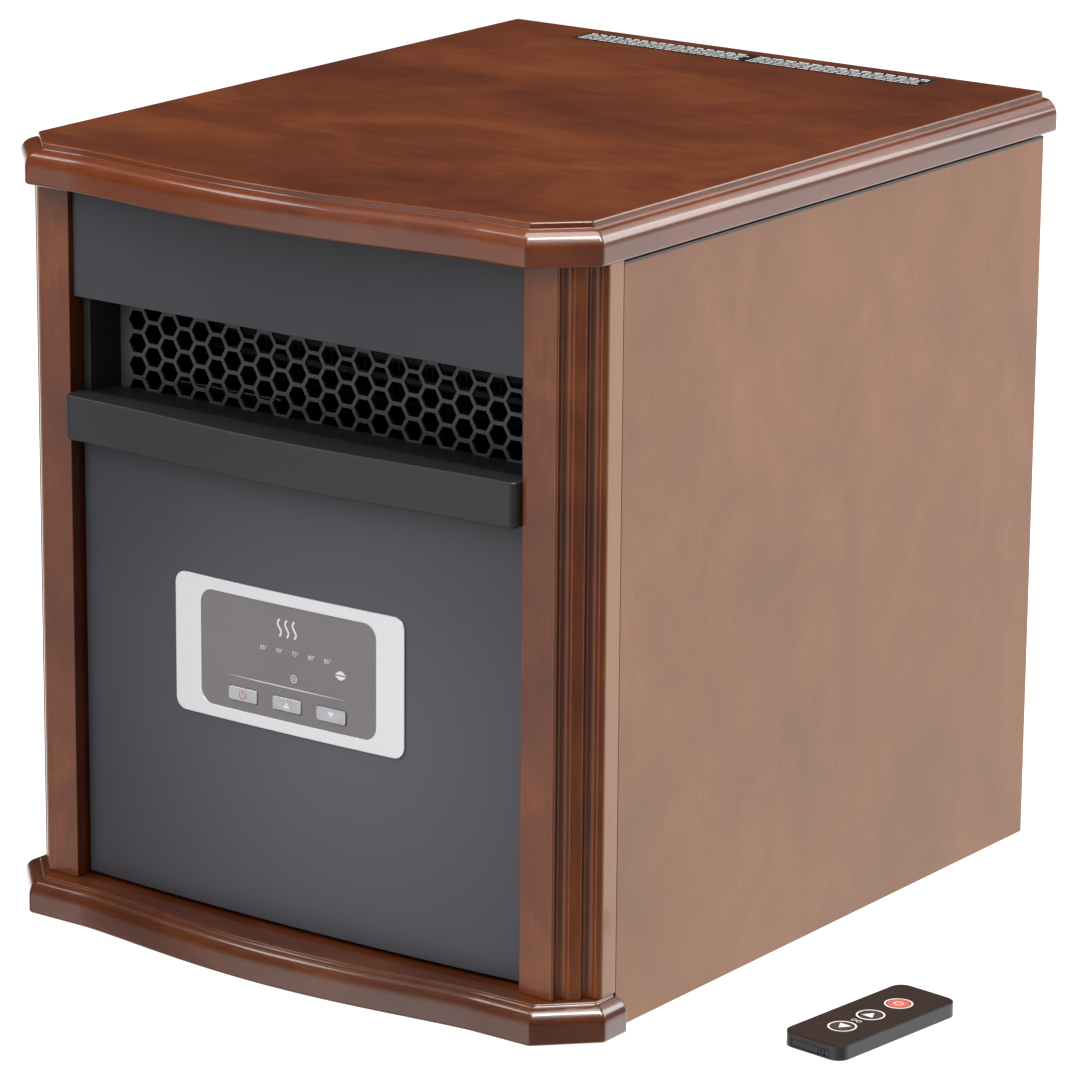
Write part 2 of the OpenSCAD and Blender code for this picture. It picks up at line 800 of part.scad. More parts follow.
// Bushing that a cord would pass through
module cord_bushing() {
    color("black") translate([cord_at[0], rear_sheet_y, cord_at[1]]) rotate([-90, 0, 0]) difference() {
        union() {
            translate([0, 0, -5]) cylinder(r = cord_hole_r + 2.7, h = 8);
            translate([0, 0, -5]) cylinder(r = cord_hole_r + 4.5, h = 4.7);
            translate([0, 0, sheet_t]) cylinder(r = cord_hole_r + 5, h = 2);
            translate([0, 0, sheet_t + 2])
                cylinder(r1 = cord_hole_r + 3.5, r2 = cord_hole_r + 1.6, h = 5, $fn = 48);
        }
        translate([0, 0, -6]) cylinder(r = cord_hole_r, h = 30);
    }
}

// Connector block on the bottom board
module terminal_block() {
    color("ivory") translate([110, rear_sheet_y - 50, bottom_t]) difference() {
        box([-20, -9, 0], [20, 9, 16]);
        for (i = [-1:1]) translate([i * 12, 0, 9]) cylinder(r = 3, h = 9);
        for (i = [-1:1]) translate([i * 12, -10, 7]) rotate([-90, 0, 0]) cylinder(r = 2, h = 20);
    }
}

// Power board on its spacers, with its relays and capacitor
module power_board() {
    color("darkgreen") at_front() translate([-105, 130, bottom_t]) {
        for (sx = [-1, 1], sy = [-1, 1]) translate([sx * 26, sy * 42, 0]) cylinder(r = 3, h = 10);
        box([-32, -48, 10], [32, 48, 11.6]);
        for (i = [0:2]) box([-26, -38 + 26 * i, 11.6], [-8, -22 + 26 * i, 27]);
        translate([14, 26, 11.6]) cylinder(r = 8, h = 22);
        box([4, -40, 11.6], [26, -6, 31]);
    }
}

// Housing of the tip-over switch, above its hole in the bottom board
module tip_switch() {
    color("dimgray") translate([tip_x, tip_y, bottom_t]) difference() {
        box([-10, -8, 0], [10, 8, 24]);
        translate([0, 0, -1]) cylinder(r = 6.5, h = 20);
    }
}

// Plunger that the floor holds up: it drops when the heater is lifted or tips over
module tip_plunger() {
    color("ivory") translate([tip_x, tip_y, 0]) {
        cylinder(r = 4, h = bottom_t + 12);
        translate([0, 0, bottom_t + 4.8]) cylinder(r = 6, h = 2);
    }
}

// A straight wire between two points
module wire(a, b, r) {
    v = b - a;
    translate(a) rotate([0, acos(v[2] / norm(v)), atan2(v[1], v[0])])
        cylinder(r = r, h = norm(v), $fn = 16);
}

// Bundled wires from the boards to the heater and the motor
module wiring() {
    color("firebrick") at_front() {
        wire([-110, 60, bottom_t + 2], [-130, 95, 275], 2);
        wire([70, 320, bottom_t + 3], [120, 260, bottom_t + 3], 2);
    }
}

// Thin printed strip at the back of the top
module warning_strip() {
    color("black") box([-105.5, rear_y - 18, total_h], [105.5, rear_y - 0.5, total_h + 0.2]);
}

// Places its children in the remote control's own frame: y along its length, z up from its underside
module at_remote() {
    translate([remote_at[0], remote_at[1], 0]) rotate(-remote_turn) children();
}
rw = remote_size[0];
rl = remote_size[1];
rh = remote_size[2];
remote_corner = 6.5;
split_z = 3.6;
key_y = [key_pitch, 0, -key_pitch];
tray_w = 22;
tray_l = 26;

// Lower shell, open at its near end for the battery tray
module remote_base() {
    color("#26262a") at_remote() difference() {
        linear_extrude(split_z) round_rect(rw, rl, remote_corner);
        translate([0, 0, 0.8]) linear_extrude(5) round_rect(rw - 4, rl - 6, 4.5);
        box([-tray_w / 2 - 0.2, -rl / 2 - 1, 0.8], [tray_w / 2 + 0.2, -rl / 2 + 10, 9]);
    }
}

// Upper shell, with a well for each key
module remote_cover() {
    color("#26262a") at_remote() difference() {
        translate([0, 0, split_z]) linear_extrude(rh - 0.3 - split_z) round_rect(rw, rl, remote_corner);
        translate([0, 0, split_z - 1]) linear_extrude(rh - 1.3 - split_z + 1)
            round_rect(rw - 4, rl - 6, 4.5);
        box([-tray_w / 2 - 0.2, -rl / 2 - 1, 0], [tray_w / 2 + 0.2, -rl / 2 + 10, split_z + 0.8]);
        for (y = key_y) translate([0, y, 0]) cylinder(r = key_r + 0.2, h = 20);
        translate([0, rl / 2 - 6, split_z]) rotate([-90, 0, 0]) cylinder(r = 2.1, h = 20);
    }
}

// Glossy face film with an opening round each key
module remote_overlay() {
    color("#1c1414") at_remote() translate([0, 0, rh - 0.3]) linear_extrude(0.3) difference() {
        round_rect(rw - 0.5, rl - 0.5, remote_corner - 0.25);
        for (y = key_y) translate([0, y]) circle(key_r + 0.2);
    }
}

module remote_key(i) {
    tone = i == 0 ? "#c8402c" : "#2a2326";
    color(tone) at_remote() translate([0, key_y[i], 0]) {
        translate([0, 0, rh - 2]) cylinder(r = key_r, h = 2 + 0.1);
        translate([0, 0, rh - 2.25]) cylinder(r = 1.5, h = 0.25);
    }
}

module remote_key_power() {
    remote_key(0);
}

module remote_key_up() {
    remote_key(1);
}

module remote_key_down() {
    remote_key(2);
}

// Battery tray: it slides out of the near end by the ribs on its front wall
module remote_tray() {
    color("#26262a") at_remote() difference() {
        union() {
            box([-tray_w / 2, -rl / 2, 1.1], [tray_w / 2, -rl / 2 + 2.5, split_z + 0.5]);
            box([-tray_w / 2, -rl / 2 + 2.5, 1.1], [tray_w / 2, -rl / 2 + tray_l, 3.5]);
        }
        translate([0, -rl / 2 + 14, 1.5]) cylinder(r = 10.1, h = 5);
        for (x = [4.4, 6.2, 8]) box([x, -rl / 2 - 1, 0], [x + 0.8, -rl / 2 + 0.6, split_z + 1]);
    }
}

module remote_cell() {
    color(steel) at_remote() translate([0, -rl / 2 + 14, 1.5]) cylinder(r = 10, h = 2);
}

// Board with a dome under each key
module remote_board() {
    color("darkgreen") at_remote() {
        box([-rw / 2 + 2, -rl / 2 + 7, 3.7], [rw / 2 - 2, rl / 2 - 12, 4.2]);
        for (y = key_y) translate([0, y, 4.2]) cylinder(r = 2.5, h = 0.2);
    }
}

// Infrared lamp at the far end
module remote_emitter() {
    color("#301020") at_remote() translate([0, rl / 2 - 10, split_z]) rotate([-90, 0, 0]) intersection() {
        cylinder(r = 2, h = 10);
        translate([-5, -4, 0]) cube([10, 4, 12]);
    }
}

top_panel();
side_panel_left();
side_panel_right();
front_post_left();
front_post_right();
base_moulding();
bottom_panel();
top_cleats();
rear_cleats();
corner_blocks();
glide_pads();
upper_front_panel();
lower_front_panel();
panel_spacers();
outlet_frame();
outlet_grille();
outlet_shelf();
control_bezel();
control_fascia();
indicator_lens();
button_power();
button_up();
button_down();
control_housing();
control_board();
air_duct();
heater_frame();
ceramic_bars();
heater_fins();
airflow_lip();
thermal_cutoff();
blower_scroll();
blower_inlet_plate();
blower_wheel();
blower_shaft();
blower_motor();
motor_bracket();
blower_stand();
rear_panel();
filter_grid();
filter_frame();
filter_foam();
cord_bushing();
terminal_block();
power_board();
tip_switch();
tip_plunger();
wiring();
rear_screws();
warning_strip();
remote_base();
remote_cover();
remote_overlay();
remote_key_power();
remote_key_up();
remote_key_down();
remote_tray();
remote_cell();
remote_board();
remote_emitter();
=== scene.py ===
"""Looks of the wood-cabinet ceramic heater and its remote control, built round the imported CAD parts."""
import json
import math

import bmesh
import bpy
from mathutils import Matrix, Vector


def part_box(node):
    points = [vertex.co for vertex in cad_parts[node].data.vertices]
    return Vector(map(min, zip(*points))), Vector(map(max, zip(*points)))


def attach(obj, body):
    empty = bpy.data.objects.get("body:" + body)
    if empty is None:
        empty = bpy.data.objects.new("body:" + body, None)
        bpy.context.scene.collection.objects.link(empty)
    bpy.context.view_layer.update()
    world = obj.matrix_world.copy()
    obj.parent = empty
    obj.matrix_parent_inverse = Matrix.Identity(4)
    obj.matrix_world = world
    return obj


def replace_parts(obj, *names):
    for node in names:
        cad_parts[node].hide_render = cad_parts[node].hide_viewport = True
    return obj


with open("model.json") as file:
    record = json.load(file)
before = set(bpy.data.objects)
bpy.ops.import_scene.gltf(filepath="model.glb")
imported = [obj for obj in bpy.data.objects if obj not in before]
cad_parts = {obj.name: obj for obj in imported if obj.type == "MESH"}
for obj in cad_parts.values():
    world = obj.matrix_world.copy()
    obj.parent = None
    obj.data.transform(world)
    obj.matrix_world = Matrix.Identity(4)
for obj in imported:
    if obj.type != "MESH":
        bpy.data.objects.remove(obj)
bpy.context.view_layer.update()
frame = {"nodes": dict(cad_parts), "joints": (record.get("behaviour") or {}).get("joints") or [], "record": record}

MM = 0.001
NODES = frame["nodes"]
BODY = {node: body for body, nodes in frame["record"]["behaviour"]["bodies"].items() for node in nodes}
SLOT = {part["node"]: part["material_slot"] for part in frame["record"]["subparts"]}

# Camera, in metres and degrees
EYE = Vector((1.5312, -2.1025, 0.8957))
HEADING = 36.01
PITCH = -15.64
ROLL = 0.47
LENS = 183.44

# Brightness of the surround: everywhere, of the pale sweep low in front and low behind, and of a soft glow
STUDIO = 0.03
SWEEP_FRONT = 0.2
SWEEP_BACK = 1.7
GLOW = 0.95
GLOW_AZIMUTH = -14
GLOW_ELEVATION = -16

# Where they fade: the sweep from front to back, its height, and the glow by the cosine from its middle
SWEEP_FADE = (-0.15, 0.45)
HEIGHT_FADE = (0.02, -0.18)
GLOW_FADE = (0.76, 0.99)

# Floor: half its width in metres, and how far it lies below the heater in millimetres
FLOOR_HALF = 14
FLOOR_DROP = 0.3

# Shape of the two mouldings, in millimetres
BOW_OUT = 10.5
BOW_HALF = 118
CHAMFER = 25
MITRE_ROUND = 3
LOW_ROUND = 1.6
OVOLO = 8.0

# Shape of a front post, in millimetres
POST_CHAMFER = 16.8
FLUTE_W = 6.6
FLUTE_DEEP = 2.8
FLUTE_AT = (4.5, 17)

# Bow of the lower front panel, in millimetres: its depth and half its width
PANEL_BOW = 5
PANEL_HALF = 130.8

# Places on the cabinet where a painted light or shade begins, in metres: the outer sides of the posts, painted
# paler as lit sides, the painted shadow in the gap between the side panels and the top, and the middle and the
# reach of the painted sheen on the lower panel
LIT_POST_SIDE = (0.1668, 0.1673)
TOP_GAP_SHADOW = (0.3584, 0.3590)
SHEEN_MIDDLE = (0.03, -0.21, 0.12)
SHEEN_REACH = (0.17, 0.02)

# Marks on the control panel, in millimetres from the middle of the bezel
NUMBER_X = [5 + 9.5 * i for i in range(-2, 3)]
NUMBER_Z = 5.6
LINE_Z = -11.4

# How far printed marks stand out, in millimetres
PRINT = 0.06
KEY_PRINT = 0.04
FILM_PRINT = 0.03
STRIP_PRINT = 0.02


# ---------------------------------------------------------------- colours and node trees

def tone(red, green, blue):
    """A colour as it looks on a screen, 0 to 255, in Blender's linear values."""
    def linear(c):
        c = c / 255
        return c / 12.92 if c <= 0.04045 else ((c + 0.055) / 1.055) ** 2.4
    return (linear(red), linear(green), linear(blue), 1.0)


def scaled(colour, factor):
    """A colour made lighter or darker, and opaque."""
    return tuple(min(1.0, c * factor) for c in colour[:3]) + (1.0,)


class Finish:
    """A material under construction: a Principled shader and the nodes that feed it."""

    def __init__(self, name, **sockets):
        self.material = bpy.data.materials.new(name)
        self.material.use_nodes = True
        self.tree = self.material.node_tree
        self.shader = self.tree.nodes["Principled BSDF"]
        for socket, value in sockets.items():
            self.shader.inputs[socket.replace("_", " ")].default_value = value
        self.place = self.node("ShaderNodeTexCoord").outputs["Object"]

    def node(self, kind, inputs=None, **settings):
        made = self.tree.nodes.new(kind)
        for name, value in settings.items():
            setattr(made, name, value)
        for key, value in (inputs or {}).items():
            if isinstance(value, bpy.types.NodeSocket):
                self.tree.links.new(value, made.inputs[key])
            else:
                made.inputs[key].default_value = value
        return made

    def stretched(self, scale):
        return self.node("ShaderNodeMapping", {"Vector": self.place, "Scale": scale}).outputs[0]

    def scaled_place(self, scale):
        """Where a texture is read, and its scale: one number, or one for each axis."""
        if isinstance(scale, tuple):
            return {"Vector": self.stretched(scale), "Scale": 1.0}
        return {"Vector": self.place, "Scale": scale}

    def noise(self, scale, detail=3.0, rough=0.55, bend=0.0):
        """Noise from 0 to 1, with scale in features per metre."""
        inputs = self.scaled_place(scale)
        inputs.update({"Detail": detail, "Roughness": rough, "Distortion": bend})
        return self.node("ShaderNodeTexNoise", inputs).outputs["Fac"]

    def cells(self, scale, feature="F1", output="Distance"):
        """Cells with scale in cells per metre."""
        made = self.node("ShaderNodeTexVoronoi", self.scaled_place(scale), feature=feature)
        return made.outputs[output]

    def shades(self, scale):
        """Cells that each have one grey of their own."""
        return self.node("ShaderNodeRGBToBW", {0: self.cells(scale, output="Color")}).outputs[0]

    def axis(self, name):
        """The distance along one axis, in metres."""
        return self.node("ShaderNodeSeparateXYZ", {0: self.place}).outputs[name]

    def levels(self, value, low, high, out_low=0.0, out_high=1.0):
        made = self.node("ShaderNodeMapRange", {
            0: value, 1: low, 2: high, 3: out_low, 4: out_high}, clamp=True)
        return made.outputs[0]

    def maths(self, operation, a, b=0.0):
        return self.node("ShaderNodeMath", {0: a, 1: b}, operation=operation).outputs[0]

    def blend(self, first, *rest):
        """The sum of values, each given with its weight."""
        total = self.maths("MULTIPLY", *first)
        for value, weight in rest:
            total = self.maths("ADD", total, self.maths("MULTIPLY", value, weight))
        return total

    def mix(self, factor, a, b):
        return self.node("ShaderNodeMix", {0: factor, 6: a, 7: b}, data_type="RGBA").outputs[2]

    def glaze(self, colour, mask, strength, other):
        """A colour, covered by another up to strength where the mask is 1."""
        return self.mix(self.maths("MULTIPLY", mask, strength), colour, other)

    def ramp(self, value, *stops):
        made = self.node("ShaderNodeValToRGB", {0: value})
        marks = made.color_ramp.elements
        while len(marks) < len(stops):
            marks.new(0.5)
        for mark, (position, colour) in zip(marks, stops):
            mark.position = position
            mark.color = colour
        return made.outputs[0]

    def wear(self):
        """1 along rounded edges and 0 elsewhere, from the mesh's own attribute."""
        return self.node("ShaderNodeAttribute", attribute_name="edge").outputs["Fac"]

    def bump(self, height, strength, depth_mm):
        made = self.node("ShaderNodeBump", {
            "Height": height, "Strength": strength, "Distance": depth_mm * MM})
        return made.outputs[0]

    def done(self, colour=None, rough=None, normal=None):
        for socket, value in (("Base Color", colour), ("Roughness", rough), ("Normal", normal)):
            if value is not None:
                self.tree.links.new(value, self.shader.inputs[socket])
        return self.material


# ---------------------------------------------------------------- materials

def along(axis, run, cross):
    """Scales for a grain that runs along one axis: features per metre with the grain and across it."""
    return tuple(run if name == axis else cross for name in "XYZ")


def stained_wood(name, grain, tones, gloss, coat, blotch=14.0, grain_depth=0.5, side=None, gap_shadow=False):
    """Stained and lacquered wood: blotchy stain, bands, fine grain and short open pores.

    tones are its dark, middle and light colours. Past the outer corner of a post it takes the colour side, a paler
    colour painted as light on the post's lit outer side."""
    dark, mid, light = tones
    f = Finish(name, Coat_Weight=coat, Coat_Roughness=0.06, Specular_IOR_Level=0.5)
    blotches = f.noise(along(grain, blotch * 0.75, blotch), 4.0, 0.6, 0.5)
    bands = f.noise(along(grain, 1.6, 46.0), 4.0, 0.6, 0.25)
    fibres = f.noise(along(grain, 40.0, 900.0), 5.0, 0.65, 0.1)
    pores = f.levels(f.noise(along(grain, 130.0, 1500.0), 2.0, 0.5), 0.60, 0.74)
    value = f.blend((blotches, 0.64), (bands, 0.12), (fibres, 0.24))
    colour = f.ramp(value, (0.34, dark), (0.5, mid), (0.66, light))
    gold = f.levels(f.noise(blotch * 0.45, 2.0), 0.5, 0.72)
    golden = tuple(c * k for c, k in zip(light, (1.0, 1.04, 0.76, 1.0)))
    colour = f.glaze(colour, gold, 0.18, golden)
    # Painted light: the posts' outer sides get the paler colour side, for the light that falls on them
    if side:
        across = f.maths("ABSOLUTE", f.axis("X"))
        colour = f.mix(f.levels(across, *LIT_POST_SIDE), colour, f.mix(bands, side, scaled(side, 0.8)))
    colour = f.glaze(colour, pores, 0.35 * grain_depth, scaled(dark, 0.35))
    colour = f.glaze(colour, f.wear(), 0.32, light)
    streaks = f.maths("ADD", fibres, f.maths("MULTIPLY", blotches, 0.5))
    height = f.maths("SUBTRACT", f.maths("MULTIPLY", fibres, 0.5), pores)
    # Painted shadow: the top of the side panels is darkened where the gap under the top lies in shade
    if gap_shadow:
        colour = f.mix(f.levels(f.axis("Z"), *TOP_GAP_SHADOW), colour, tone(22, 12, 8))
    rough = f.levels(streaks, 0.5, 1.0, gloss, gloss + 0.12)
    return f.done(colour, rough, f.bump(height, 0.16 * grain_depth, 0.12))


def bare_board(name):
    """Plain board: pale, with coarse chips and a dull surface."""
    f = Finish(name, Specular_IOR_Level=0.3)
    chips = f.shades((520.0, 260.0, 520.0))
    fine = f.noise(600.0, 4.0)
    colour = f.ramp(f.blend((chips, 0.6), (fine, 0.4)),
                    (0.2, tone(140, 106, 74)), (0.5, tone(164, 130, 94)), (0.8, tone(184, 152, 116)))
    return f.done(colour, f.levels(fine, 0.3, 0.7, 0.7, 0.9), f.bump(chips, 0.3, 0.2))


def painted_steel(name, low, high, gloss=0.42, edge_colour=None, painted_sheen=False):
    """Powder-coated sheet: fine orange peel, faint cloudiness and rubbed edges."""
    f = Finish(name, Specular_IOR_Level=0.5)
    cloud = f.noise(9.0, 4.0, 0.6, 0.6)
    peel = f.noise(1500.0, 2.0)
    speck = f.levels(f.noise(3800.0, 1.0), 0.62, 0.72)
    colour = f.mix(cloud, low, high)
    # Painted sheen: a paler pool round a point on the lower panel, standing in for the reflection on its bow
    if painted_sheen:
        away = f.node("ShaderNodeVectorMath", {0: f.place, 1: SHEEN_MIDDLE}, operation="DISTANCE")
        colour = f.mix(f.levels(away.outputs["Value"], *SHEEN_REACH), colour, tone(92, 91, 98))
    colour = f.glaze(colour, speck, 0.25, scaled(high, 1.7))
    colour = f.glaze(colour, f.wear(), 0.4, edge_colour or scaled(high, 1.6))
    rough = f.levels(f.blend((cloud, 0.5), (peel, 0.5)), 0.3, 0.7, gloss - 0.05, gloss + 0.07)
    return f.done(colour, rough, f.bump(peel, 0.12, 0.06))


def moulded_plastic(name, low, high, gloss=0.4, texture=2600.0, depth=0.12, coat=0.0):
    """Injection-moulded plastic: spark-eroded texture, slight flow marks and paler edges."""
    f = Finish(name, Specular_IOR_Level=0.45, Coat_Weight=coat, Coat_Roughness=0.08)
    flow = f.noise((14.0, 30.0, 40.0), 3.0, 0.5, 0.8)
    grains = f.cells(texture)
    colour = f.glaze(f.mix(flow, low, high), f.wear(), 0.3, scaled(high, 1.8))
    rough = f.levels(f.blend((grains, 0.6), (flow, 0.4)), 0.2, 0.8, gloss - 0.05, gloss + 0.08)
    return f.done(colour, rough, f.bump(grains, depth, 0.05))


def metal(name, low, high, gloss, brush=None, spangle=0.0):
    """Bare or plated metal: brushed along an axis, or with zinc spangles."""
    f = Finish(name, Metallic=1.0)
    lines = f.noise(brush or 300.0, 4.0, 0.7)
    colour = f.mix(lines, low, high)
    if spangle:
        colour = f.glaze(colour, f.shades(spangle), 0.5, low)
    stains = f.noise(24.0, 4.0, 0.6, 0.5)
    rough = f.levels(f.blend((lines, 0.5), (stains, 0.5)), 0.3, 0.7, gloss - 0.06, gloss + 0.1)
    return f.done(colour, rough, f.bump(lines, 0.12, 0.04))


def silver_paint(name):
    """Pale silver lacquer on plastic: fine flakes under a clear coat."""
    f = Finish(name, Metallic=0.3, Coat_Weight=0.3, Coat_Roughness=0.12)
    flakes = f.noise(5200.0, 1.0)
    cloud = f.noise(20.0, 3.0)
    colour = f.ramp(flakes, (0.35, tone(228, 228, 231)), (0.65, tone(246, 246, 248)))
    colour = f.glaze(colour, cloud, 0.12, tone(226, 226, 230))
    colour = f.glaze(colour, f.wear(), 0.3, tone(254, 254, 254))
    return f.done(colour, f.levels(flakes, 0.3, 0.7, 0.28, 0.38), f.bump(flakes, 0.04, 0.02))


def tinted_cap(name, low, high):
    """Silvered translucent button: soft clouds under a glossy skin."""
    f = Finish(name, Metallic=0.15, Coat_Weight=0.3, Coat_Roughness=0.1)
    cloud = f.noise((120.0, 200.0, 260.0), 3.0, 0.5, 0.6)
    sheen = f.noise(2400.0, 1.0)
    colour = f.glaze(f.mix(cloud, low, high), f.wear(), 0.5, tone(240, 240, 242))
    return f.done(colour, f.levels(cloud, 0.3, 0.7, 0.24, 0.34), f.bump(sheen, 0.03, 0.02))


def clear_lens(name):
    """Clear strip with a slight haze."""
    f = Finish(name, Transmission_Weight=0.85, IOR=1.49)
    haze = f.noise(900.0, 3.0)
    colour = f.mix(haze, tone(214, 218, 220), tone(236, 238, 240))
    return f.done(colour, f.levels(haze, 0.3, 0.7, 0.08, 0.2))


def circuit_board(name):
    """Green solder mask over a mesh of copper tracks, with pale specks of solder."""
    f = Finish(name, Specular_IOR_Level=0.5, Coat_Weight=0.3, Coat_Roughness=0.2)
    tracks = f.levels(f.cells((420.0, 420.0, 420.0), "DISTANCE_TO_EDGE"), 0.04, 0.07)
    solder = f.levels(f.cells(260.0), 0.10, 0.12)
    colour = f.mix(tracks, tone(46, 118, 74), tone(18, 74, 44))
    colour = f.mix(solder, tone(186, 188, 184), colour)
    return f.done(colour, f.levels(tracks, 0.0, 1.0, 0.3, 0.42), f.bump(tracks, 0.3, 0.05))


def ceramic(name):
    """Fired ceramic: dark grey, matte, with fine pits."""
    f = Finish(name, Specular_IOR_Level=0.4)
    pits = f.levels(f.noise(1400.0, 3.0), 0.36, 0.5)
    cloud = f.noise(60.0, 4.0)
    colour = f.mix(cloud, tone(66, 63, 58), tone(80, 77, 71))
    colour = f.mix(pits, tone(50, 47, 42), colour)
    return f.done(colour, f.levels(cloud, 0.3, 0.7, 0.55, 0.75), f.bump(pits, 0.3, 0.05))


def rubber(name, low, high):
    """Dull rubber with a powdery bloom."""
    f = Finish(name, Specular_IOR_Level=0.3, Sheen_Weight=0.2, Sheen_Roughness=0.5)
    bloom = f.noise(140.0, 5.0, 0.7)
    skin = f.noise(2200.0, 2.0)
    return f.done(f.mix(bloom, low, high), f.levels(skin, 0.3, 0.7, 0.62, 0.82), f.bump(skin, 0.2, 0.06))


def open_foam(name):
    """Reticulated filter foam: dark open cells."""
    f = Finish(name, Specular_IOR_Level=0.2)
    holes = f.levels(f.cells(640.0), 0.25, 0.62)
    tint = f.noise(160.0, 3.0)
    colour = f.mix(holes, tone(12, 12, 13), tone(58, 58, 60))
    colour = f.glaze(colour, tint, 0.4, tone(34, 34, 36))
    return f.done(colour, f.levels(tint, 0.3, 0.7, 0.8, 0.95), f.bump(holes, 0.9, 0.6))


def printed(name, low, high, gloss=0.4):
    """Screen-printed ink: almost even, with a slightly broken surface."""
    f = Finish(name, Specular_IOR_Level=0.4)
    speck = f.noise(4200.0, 2.0)
    return f.done(f.mix(speck, low, high), f.levels(speck, 0.3, 0.7, gloss - 0.06, gloss + 0.08))


def glossy_film(name, low, high):
    """Printed face film under a clear glossy skin, with faint wipe marks."""
    f = Finish(name, Specular_IOR_Level=0.2)
    wipes = f.noise((60.0, 420.0, 60.0), 4.0, 0.6, 0.5)
    grain = f.noise(2800.0, 1.0)
    colour = f.mix(wipes, low, high)
    return f.done(colour, f.levels(wipes, 0.3, 0.7, 0.26, 0.36), f.bump(grain, 0.03, 0.02))


# ---------------------------------------------------------------- meshes

def finish_mesh(bm, name, material, body, slot, smooth_angle=32.0):
    """Turns a bmesh into a piece in the row frame that rides on a body."""
    bmesh.ops.recalc_face_normals(bm, faces=bm.faces)
    mesh = bpy.data.meshes.new(name)
    bm.to_mesh(mesh)
    bm.free()
    mesh.shade_smooth()
    mesh.set_sharp_from_angle(angle=math.radians(smooth_angle))
    mesh.materials.append(material)
    piece = bpy.data.objects.new(name, mesh)
    bpy.context.scene.collection.objects.link(piece)
    weighted = piece.modifiers.new("weighted", "WEIGHTED_NORMAL")
    weighted.keep_sharp = True
    weighted.weight = 80
    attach(piece, body)
    return piece


def round_edges(bm, radius, steps=2, angle=28.0):
    """Rounds the edges that turn by more than angle, and marks each round's middle as worn."""
    sharp = [e for e in bm.edges if len(e.link_faces) == 2 and e.calc_face_angle(0) > math.radians(angle)]
    layer = bm.verts.layers.float.new("edge")
    made = bmesh.ops.bevel(bm, geom=sharp, offset=radius, segments=steps, profile=0.5,
                           affect="EDGES", clamp_overlap=True)
    rounds = set(made["faces"])
    for vert in {v for face in rounds for v in face.verts}:
        if all(face in rounds for face in vert.link_faces):
            vert[layer] = 1.0


def rounded(node, material, radius_mm, steps=2, angle=28.0):
    """A copy of a CAD node with its sharp edges rounded, which stands for the node."""
    bm = bmesh.new()
    bm.from_mesh(NODES[node].data)
    bmesh.ops.remove_doubles(bm, verts=bm.verts, dist=0.01 * MM)
    bmesh.ops.dissolve_limit(bm, angle_limit=math.radians(0.1), verts=bm.verts, edges=bm.edges)
    round_edges(bm, radius_mm * MM, steps, angle)
    piece = finish_mesh(bm, node + "_shape", material, BODY[node], SLOT[node])
    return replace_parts(piece, node)


def repaint(node, material):
    """Gives a CAD node that keeps its shape its finish."""
    mesh = NODES[node].data
    mesh.materials.clear()
    mesh.materials.append(material)


def arc(centre, radius, start, end, steps):
    """Points of an arc, with its angles in degrees."""
    for i in range(steps + 1):
        a = math.radians(start + (end - start) * i / steps)
        yield (centre[0] + radius * math.cos(a), centre[1] + radius * math.sin(a))


def fillet(before, corner, after, radius, steps=4):
    """Points that round a corner of a path."""
    c = Vector(corner)
    u = (Vector(before) - c).normalized()
    v = (Vector(after) - c).normalized()
    half = u.angle(v) / 2
    start = c + u * radius / math.tan(half)
    end = c + v * radius / math.tan(half)
    centre = c + (u + v).normalized() * radius / math.sin(half)
    a = start - centre
    b = end - centre
    turn = a.angle(b)
    for i in range(steps + 1):
        t = i / steps
        p = (a * math.sin((1 - t) * turn) + b * math.sin(t * turn)) / math.sin(turn)
        yield tuple(centre + p)


def moulding_plan(half, back, front, inset):
    """A moulding's outline in millimetres, moved in by inset, with softened mitres and a bowed front."""
    side = half - inset
    mitre = inset * (math.sqrt(2) - 1)
    x = half - CHAMFER - mitre
    y = front + CHAMFER + mitre
    line = front + inset
    left = [(-side, back), (-side, y), (-x, line), (0, line)]
    points = list(fillet((0, back), left[0], left[1], 1.0, 3))
    points += fillet(left[0], left[1], left[2], MITRE_ROUND)
    points += fillet(left[1], left[2], left[3], MITRE_ROUND)
    mirrored = [(-px, py) for px, py in reversed(points)]
    steps = 120
    edge = x - 2 * MITRE_ROUND
    for i in range(steps + 1):
        at = -edge + 2 * edge * i / steps
        bow = BOW_OUT * max(0.0, 1 - (at / BOW_HALF) ** 2) ** 1.5
        points.append((at, line - bow))
    return points + mirrored


def moulding_edge(height, ledge, step):
    """A moulding's edge from its lower face up, as (distance in, height, wear), in millimetres."""
    path = [(5.0, 0, 0)]
    path += [(x, y, 0.6) for x, y in arc((LOW_ROUND, LOW_ROUND), LOW_ROUND, 270, 180, 5)]
    ovolo_base = height - step - OVOLO
    for i in range(15):
        a = math.radians(90 * i / 14)
        wear = 0.0 if i < 12 else 0.25
        path.append((ledge * (1 - math.cos(a)), ovolo_base + OVOLO * math.sin(a), wear))
    foot = ledge + 1.0
    riser = foot + 0.5
    lip = min(0.9, step * 0.6)
    path += [(foot, height - step, 0), (foot + 0.35, height - step + 0.3, 0), (riser, height - lip, 0)]
    for degrees in (25, 50, 72):
        a = math.radians(degrees)
        path.append((riser + lip * (1 - math.cos(a)), height - lip + lip * math.sin(a), 1.0))
    path += [(riser + lip, height, 0.3), (foot + 4.5, height, 0)]
    return path


